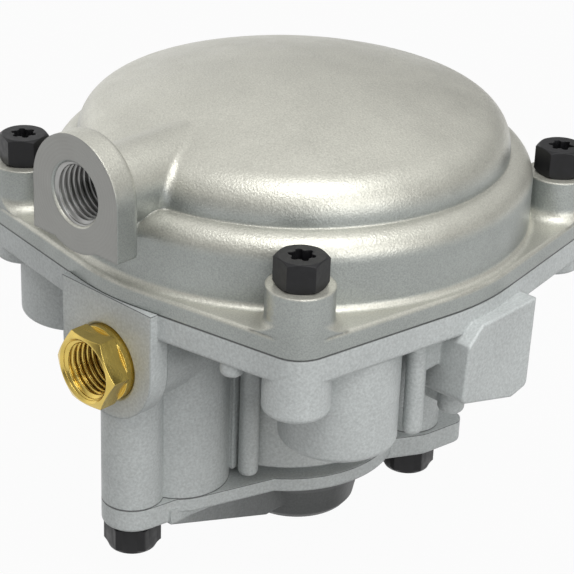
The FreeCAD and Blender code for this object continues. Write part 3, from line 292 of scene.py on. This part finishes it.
def casting(name, colour, shaded_wall_colour, grain, edge_round, blast, roughness, metallic,
            machined=False, bowl=False):
    """Die-cast aluminium: cloudy colour, blasting grain and rounded edges.

    Steep walls take a darker, greyer wall colour as painted shade, against the lit level tops.
    machined turns the service port's face, and bowl paints shade on what hangs under the ears.
    """
    cloud_width, flow_width, blast_depth = 18 * MM, 5 * MM, 0.12 * MM
    level_from = 0.5
    material, tree, shader, place = fresh_material(name)
    clouds = noise(tree, place, cloud_width, 4.0)
    specks = noise(tree, place, grain, 2.0, 0.6)
    dents = add_node(tree, "ShaderNodeTexVoronoi", {"Vector": place, "Scale": 0.6 / grain})
    flow = noise(tree, place, flow_width, 3.0)
    shade = maths(tree, "MULTIPLY", spread(tree, clouds, 0.92, 1.05),
                  spread(tree, specks, 0.84, 1.1))
    shade = maths(tree, "MULTIPLY", shade, seam_shade(tree, place))
    # Painted shade on the ramp and bowl under the ears of the bottom cover.
    if bowl:
        shade = maths(tree, "MULTIPLY", shade, painted_underside_shade(tree, place))
    soft = soft_edges(tree, edge_round)
    # Painted shade: faces blend from the darker wall colour to the lit colour as they turn
    # upwards.
    flat = ramp(tree, xyz(tree, soft)["Z"], 0.0, level_from, 0.0, 1.0,
                interpolation_type="SMOOTHSTEP")
    base = tint(tree, mixed(tree, flat, shaded_wall_colour, colour), shade)
    rough = maths(tree, "ADD", spread(tree, flow, -0.05, 0.06), roughness)
    height = maths(tree, "MULTIPLY_ADD", dents.outputs["Distance"], 0.6, specks)
    if machined:
        base, height = turned_face(tree, place, base, height)
    paint(tree, shader, base, rough, relief(tree, height, blast, blast_depth, soft), metallic)
    return material


def bright_metal(name, colour, roughness, line_width, axis="X"):
    """Turned or drawn metal: fine lines round an axis and small stains."""
    edge_round, line_depth, stretch = 0.25 * MM, 0.02 * MM, 0.04
    scale = {"X": (1, stretch, stretch), "Z": (stretch, stretch, 1)}[axis]
    material, tree, shader, place = fresh_material(name)
    drawn = add_node(tree, "ShaderNodeMapping", {"Vector": place, "Scale": scale}).outputs[0]
    lines = noise(tree, drawn, line_width, 2.0)
    stains = noise(tree, place, 3 * MM, 3.0)
    shade = maths(tree, "MULTIPLY", spread(tree, stains, 0.9, 1.04),
                  spread(tree, lines, 0.94, 1.03))
    rough = maths(tree, "ADD", spread(tree, lines, -0.05, 0.07), roughness)
    normal = relief(tree, lines, 0.25, line_depth, soft_edges(tree, edge_round))
    paint(tree, shader, tint(tree, colour, shade), rough, normal, 1.0)
    return material


def black_oxide(name, colour):
    """Oiled black oxide on steel, mottled and with softened edges."""
    edge_round, pit_width, pit_depth = 0.3 * MM, 0.5 * MM, 0.03 * MM
    material, tree, shader, place = fresh_material(name)
    blotch = noise(tree, place, 1.6 * MM, 3.0)
    pits = noise(tree, place, pit_width)
    paint(tree, shader, tint(tree, colour, spread(tree, blotch, 0.8, 1.35)),
          spread(tree, blotch, 0.34, 0.5),
          relief(tree, pits, 0.3, pit_depth, soft_edges(tree, edge_round)))
    shader.inputs["Specular IOR Level"].default_value = 0.3
    return material


def moulded_rubber(name, colour):
    """Matt rubber with a faint bloom."""
    material, tree, shader, place = fresh_material(name)
    bloom = noise(tree, place, 2 * MM, 4.0)
    paint(tree, shader, tint(tree, colour, spread(tree, bloom, 0.8, 1.5)),
          spread(tree, bloom, 0.55, 0.7),
          relief(tree, noise(tree, place, 0.3 * MM), 0.2, 0.05 * MM))
    return material


def cover_with(material, names):
    """Give CAD nodes one material."""
    for name in names:
        mesh = NODES[name].data
        mesh.materials.clear()
        mesh.materials.append(material)


def ring_quads(rows, turns, first=0, closed=False):
    """Quads between rings of points; closed also joins the last ring to the first."""
    i, j = np.meshgrid(np.arange(rows if closed else rows - 1), np.arange(turns),
                       indexing="ij")
    below = (i + 1) % rows
    beside = (j + 1) % turns
    quads = np.stack([i * turns + j, below * turns + j, below * turns + beside,
                      i * turns + beside], axis=-1)
    return (quads.reshape(-1, 4) + first).tolist()


def new_piece(name, points, faces):
    """Smooth piece of the scene, at the origin."""
    mesh = bpy.data.meshes.new(name)
    mesh.from_pydata(points.tolist(), [], faces)
    mesh.shade_smooth()
    piece = bpy.data.objects.new(name, mesh)
    bpy.context.scene.collection.objects.link(piece)
    return piece


def thread_sleeve(name, mouth, axis, radius, pitch, length, share):
    """Threaded lining of a port as one closed surface.

    Over the turn u and the depth v the inner radius is r - d * crest(|saw(v / pitch - u / turn)|),
    where |saw| runs from 0 at the root to 1 at the crest and back over one pitch, crest cuts
    both ends of that flat, and d = share * pitch fades in over the first half pitch. The
    surface goes down the inner side, over the end, and back up a plain skin in the wall.
    """
    turns, rows_per_pitch = 96, 10
    flat_root, flank = 0.12, 0.76
    skin = 0.06 * MM
    u = np.linspace(0, 2 * np.pi, turns, endpoint=False)
    v = np.linspace(0, length, int(length / pitch * rows_per_pitch))
    phase = v[:, None] / pitch - u[None, :] / (2 * np.pi)
    saw = 2 * np.abs(phase - np.floor(phase + 0.5))
    crest = np.clip((saw - flat_root) / flank, 0, 1)
    fade = np.clip(v / (0.5 * pitch), 0, 1)[:, None]
    inner = radius - pitch * share * crest * fade
    radii = np.vstack([inner, np.full((2, turns), radius + skin)])
    depth = np.concatenate([v, [length, 0]])
    axis = Vector(axis)
    side = axis.orthogonal().normalized()
    other = axis.cross(side)
    centre = np.array(mouth)[None, None, :] + depth[:, None, None] * np.array(axis)
    wheel = np.cos(u)[:, None] * np.array(side) + np.sin(u)[:, None] * np.array(other)
    points = (centre + radii[:, :, None] * wheel[None, :, :]).reshape(-1, 3)
    return new_piece(name, points, ring_quads(len(depth), turns, closed=True))


def hexagon_screw(name, x, y, seat, flat):
    """Screw that hangs head down from its seat, as one closed surface.

    Rings of points over the turn u follow the steps from the shank's end down to the socket's
    floor. A step's radius is a number, the hexagon's flat / 2 / cos(u folded to +-30 degrees)
    or the star socket's 2.4 + 0.5 cos(6 u) mm. A point at each end closes the surface.
    """
    turns = 120
    shank, shank_end, shank_chamfer = 3.0 * MM, 14.0 * MM, 0.5 * MM
    head, bevel, face_inset = 6.5 * MM, 0.9 * MM, 0.2 * MM
    socket_deep, lip_width, lip_deep = 3.2 * MM, 0.2 * MM, 0.3 * MM
    facing = math.radians(42.7)  # turns one flat towards the camera
    u = np.linspace(0, 2 * np.pi, turns, endpoint=False)
    folded = (u - facing + np.pi / 6) % (np.pi / 3) - np.pi / 6
    hexagon = flat / 2 / np.cos(folded)
    star = (2.4 + 0.5 * np.cos(6 * (u - facing))) * MM
    steps = [
        (shank - shank_chamfer, shank_end), (shank, shank_end - shank_chamfer), (shank, 0.0),
        (flat / 2, 0.0), (hexagon, -0.5 * bevel), (hexagon, bevel - head),
        (flat / 2 - face_inset, -head), (star + lip_width, -head), (star, lip_deep - head),
        (star, socket_deep - head),
    ]
    rings = [np.stack([x + radius * np.cos(u), y + radius * np.sin(u),
                       np.full(turns, seat + height)], axis=-1) for radius, height in steps]
    top = [[x, y, seat + shank_end]]
    floor = [[x, y, seat + socket_deep - head]]
    points = np.vstack([top, *rings, floor])
    ring = np.arange(turns)
    after = (ring + 1) % turns
    last = len(points) - 1
    low = last - turns
    top_fan = np.stack([np.zeros(turns, int), 1 + ring, 1 + after], axis=-1)
    floor_fan = np.stack([np.full(turns, last), low + after, low + ring], axis=-1)
    faces = ring_quads(len(steps), turns, first=1) + top_fan.tolist() + floor_fan.tolist()
    piece = new_piece(name, points, faces)
    piece.data.set_sharp_from_angle(angle=math.radians(25))
    return piece


class DressCastings(bpy.types.Operator):
    """Give the cover, the body and the bottom cover their cast skins, with painted shade on the
    cover's steep walls and under the bottom cover's ears
    """
    bl_idname = "valve.castings"
    bl_label = "Castings"

    def execute(self, context):
        cast = context.scene.valve_casting
        coarse = 1.6 * cast.grain
        # The cover's steep walls get a darker, greyer colour as painted shade.
        cover_with(casting("blasted_cover", cast.cover_colour, cast.wall_shade_colour, cast.grain,
                           cast.edge_round, 0.5, 0.37, 0.6, machined=True), ["cover"])
        cover_with(casting("cast_body", cast.body_colour, cast.body_colour, coarse,
                           cast.edge_round, 0.25, 0.46, 0.12), ["body"])
        # The bottom cover's ramp and exhaust bowl under the ears get painted shade.
        cover_with(casting("cast_bottom", cast.body_colour, cast.body_colour, coarse,
                           cast.edge_round, 0.25, 0.46, 0.10, bowl=True), ["bottom_cover"])
        return {"FINISHED"}


class DressHardware(bpy.types.Operator):
    """Give the screws, the brass and the hidden pieces their finishes"""
    bl_idname = "valve.hardware"
    bl_label = "Screws, brass and inner pieces"

    def execute(self, context):
        hardware = context.scene.valve_hardware
        black = black_oxide("black_screws", hardware.black_oxide)
        cover_with(black, ["cover_screws", "bottom_screws"])
        for number, (x, y) in enumerate(BOTTOM_SCREWS, 1):
            piece = hexagon_screw(f"bottom_screw_{number}", x * MM, y * MM, EAR_Z,
                                  hardware.bottom_flat)
            piece.data.materials.append(black)
            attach(piece, "housing")
            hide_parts("bottom_screws")
        bright_metal("tapped_aluminium", TAPPED_ALUMINIUM, 0.38, 0.5 * MM)
        cover_with(bright_metal("turned_brass", hardware.brass, 0.22, 0.5 * MM),
                   ["port_bushing"])
        cover_with(bright_metal("valve_brass", hardware.brass, 0.26, 0.4 * MM, "Z"),
                   ["valve_carrier", "check_carrier", "check_plug"])
        cover_with(bright_metal("turned_aluminium", TURNED_ALUMINIUM, 0.28, 0.3 * MM, "Z"),
                   ["relay_piston", "emergency_piston", "valve_guide"])
        cover_with(bright_metal("spring_wire", SPRING_WIRE, 0.3, 0.3 * MM, "Z"),
                   ["relay_spring", "valve_spring", "emergency_spring", "check_spring",
                    "retaining_clip"])
        cover_with(bright_metal("zinc_plate", ZINC_PLATE, 0.3, 0.6 * MM, "Z"),
                   ["diaphragm_washer", "diaphragm_screw"])
        cover_with(moulded_rubber("seal_rubber", hardware.rubber),
                   ["cover_seal", "bottom_seal", "cylinder_ring", "piston_ring", "stem_ring",
                    "guide_ring", "emergency_ring"])
        cover_with(moulded_rubber("valve_rubber", hardware.rubber),
                   ["valve_face", "check_face", "exhaust_diaphragm"])
        return {"FINISHED"}


class CutThreads(bpy.types.Operator):
    """Line the four ports with their pipe threads"""
    bl_idname = "valve.threads"
    bl_label = "Pipe threads"

    def execute(self, context):
        thread = context.scene.valve_thread
        for name, slot, finish, mouth, axis, radius, pitch, length in PORT_THREADS:
            piece = thread_sleeve(name, [c * MM for c in mouth], axis, radius * MM,
                                  getattr(thread, pitch), length * MM, thread.depth_share)
            piece.data.materials.append(bpy.data.materials[finish])
            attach(piece, "housing")
        return {"FINISHED"}


class SetStage(bpy.types.Operator):
    """Place the floor, the lamps and the camera"""
    bl_idname = "valve.stage"
    bl_label = "Stage"

    def execute(self, context):
        stage = context.scene.valve_stage
        lay_floor(stage.floor_colour)
        light_world(stage.sky)
        hang_lamp("key", KEY_PLACE, stage.key_power)
        hang_lamp("front", FRONT_PLACE, stage.side_power)
        place_camera()
        context.scene.view_settings.view_transform = "Standard"
        return {"FINISHED"}


def lay_floor(colour):
    """Pale floor under the exhaust rim; the camera sees it nearly white."""
    reach, gap, glow_share = 6.0, 0.05 * MM, 0.96
    mesh = bpy.data.meshes.new("floor")
    mesh.from_pydata([(-reach, -reach, 0), (reach, -reach, 0), (reach, reach, 0),
                      (-reach, reach, 0)], [], [(0, 1, 2, 3)])
    floor = bpy.data.objects.new("floor", mesh)
    floor.location.z = -gap
    bpy.context.scene.collection.objects.link(floor)
    material = bpy.data.materials.new("pale_floor")
    material.use_nodes = True
    tree = material.node_tree
    tree.nodes.clear()
    matt = add_node(tree, "ShaderNodeBsdfDiffuse", {"Color": (*colour, 1)})
    glow = add_node(tree, "ShaderNodeEmission", {"Color": (1, 1, 1, 1), "Strength": 1.0})
    path = add_node(tree, "ShaderNodeLightPath").outputs
    seen = maths(tree, "MAXIMUM", path["Is Camera Ray"], path["Is Glossy Ray"])
    mix = add_node(tree, "ShaderNodeMixShader", {
        0: maths(tree, "MULTIPLY", seen, glow_share), 1: matt.outputs[0], 2: glow.outputs[0]})
    add_node(tree, "ShaderNodeOutputMaterial", {"Surface": mix.outputs[0]})
    mesh.materials.append(material)


def light_world(strength):
    """Soft light from overhead, with a pale sweep behind the valve."""
    behind = (-0.1, 0.995, 0.0)
    horizon, sweep_peak = 0.04, 1.5
    world = bpy.data.worlds.new("studio")
    world.use_nodes = True
    tree = world.node_tree
    background = tree.nodes["Background"]
    background.inputs["Strength"].default_value = strength
    direction = add_node(tree, "ShaderNodeTexCoord").outputs["Generated"]
    overhead = ramp(tree, xyz(tree, direction)["Z"], 0.0, 0.8, horizon, 1.0)
    toward_back = add_node(tree, "ShaderNodeVectorMath", {0: direction, 1: behind},
                           operation="DOT_PRODUCT").outputs["Value"]
    sweep = ramp(tree, toward_back, 0.3, 0.9, 0.0, sweep_peak)
    tree.links.new(maths(tree, "MAXIMUM", overhead, sweep), background.inputs["Color"])
    bpy.context.scene.world = world


def hang_lamp(name, place, power):
    """Square area lamp that points at the valve."""
    data = bpy.data.lights.new(name, "AREA")
    data.size = LAMP_SIZE
    data.energy = power
    lamp = bpy.data.objects.new(name, data)
    lamp.location = place
    aim = Vector(LAMP_AIM) - lamp.location
    lamp.rotation_euler = aim.to_track_quat("-Z", "Y").to_euler()
    bpy.context.scene.collection.objects.link(lamp)


def place_camera():
    """Camera at the photograph's angle, solved from the screws, the flange and the dome."""
    azimuth, elevation, roll = (math.radians(a) for a in (-47.316, 26.354, 2.159))
    focal_px, frame_px, sensor = 1989.06, 574, 36.0
    shift_right, shift_up, distance = -0.865 * MM, -15.357 * MM, 458.46 * MM
    back = Vector((math.sin(azimuth) * math.cos(elevation),
                   -math.cos(azimuth) * math.cos(elevation), math.sin(elevation)))
    level_right = Vector((math.cos(azimuth), math.sin(azimuth), 0))
    level_up = back.cross(level_right)
    right = level_right * math.cos(roll) + level_up * math.sin(roll)
    up = level_up * math.cos(roll) - level_right * math.sin(roll)
    eye = right * shift_right + up * shift_up + back * distance + Vector((0, 0, PARTING_Z))
    data = bpy.data.cameras.new("camera")
    data.sensor_width = sensor
    data.lens = focal_px / frame_px * sensor
    camera = bpy.data.objects.new("camera", data)
    turn = Matrix((right, up, back)).transposed().to_4x4()
    camera.matrix_world = Matrix.Translation(eye) @ turn
    bpy.context.scene.collection.objects.link(camera)
    bpy.context.scene.camera = camera


class ValvePanel(bpy.types.Panel):
    """Sidebar panel with each step's settings and its button"""
    bl_idname = "VIEW3D_PT_relay_valve"
    bl_label = "Relay Emergency Valve"
    bl_space_type = "VIEW_3D"
    bl_region_type = "UI"
    bl_category = "Valve"

    def draw(self, context):
        for group, operator in STEPS:
            settings = getattr(context.scene, group)
            box = self.layout.box()
            for key in settings.__annotations__:
                box.prop(settings, key)
            box.operator(operator.bl_idname)


SETTINGS = {"valve_casting": CastingSettings, "valve_hardware": HardwareSettings,
            "valve_thread": ThreadSettings, "valve_stage": StageSettings}
OPERATORS = [DressCastings, DressHardware, CutThreads, SetStage]
STEPS = list(zip(SETTINGS, OPERATORS))
CLASSES = [*SETTINGS.values(), *OPERATORS, ValvePanel]


def register():
    """Register the classes and hang the settings on the scene."""
    for cls in CLASSES:
        bpy.utils.register_class(cls)
    for name, cls in SETTINGS.items():
        setattr(bpy.types.Scene, name, bpy.props.PointerProperty(type=cls))


def unregister():
    """Take the settings and the classes away again."""
    for name in SETTINGS:
        delattr(bpy.types.Scene, name)
    for cls in reversed(CLASSES):
        bpy.utils.unregister_class(cls)


def main():
    """Dress the valve and set the stage."""
    register()
    bpy.ops.valve.castings()
    bpy.ops.valve.hardware()
    bpy.ops.valve.threads()
    bpy.ops.valve.stage()


if __name__ == "__main__":
    main()
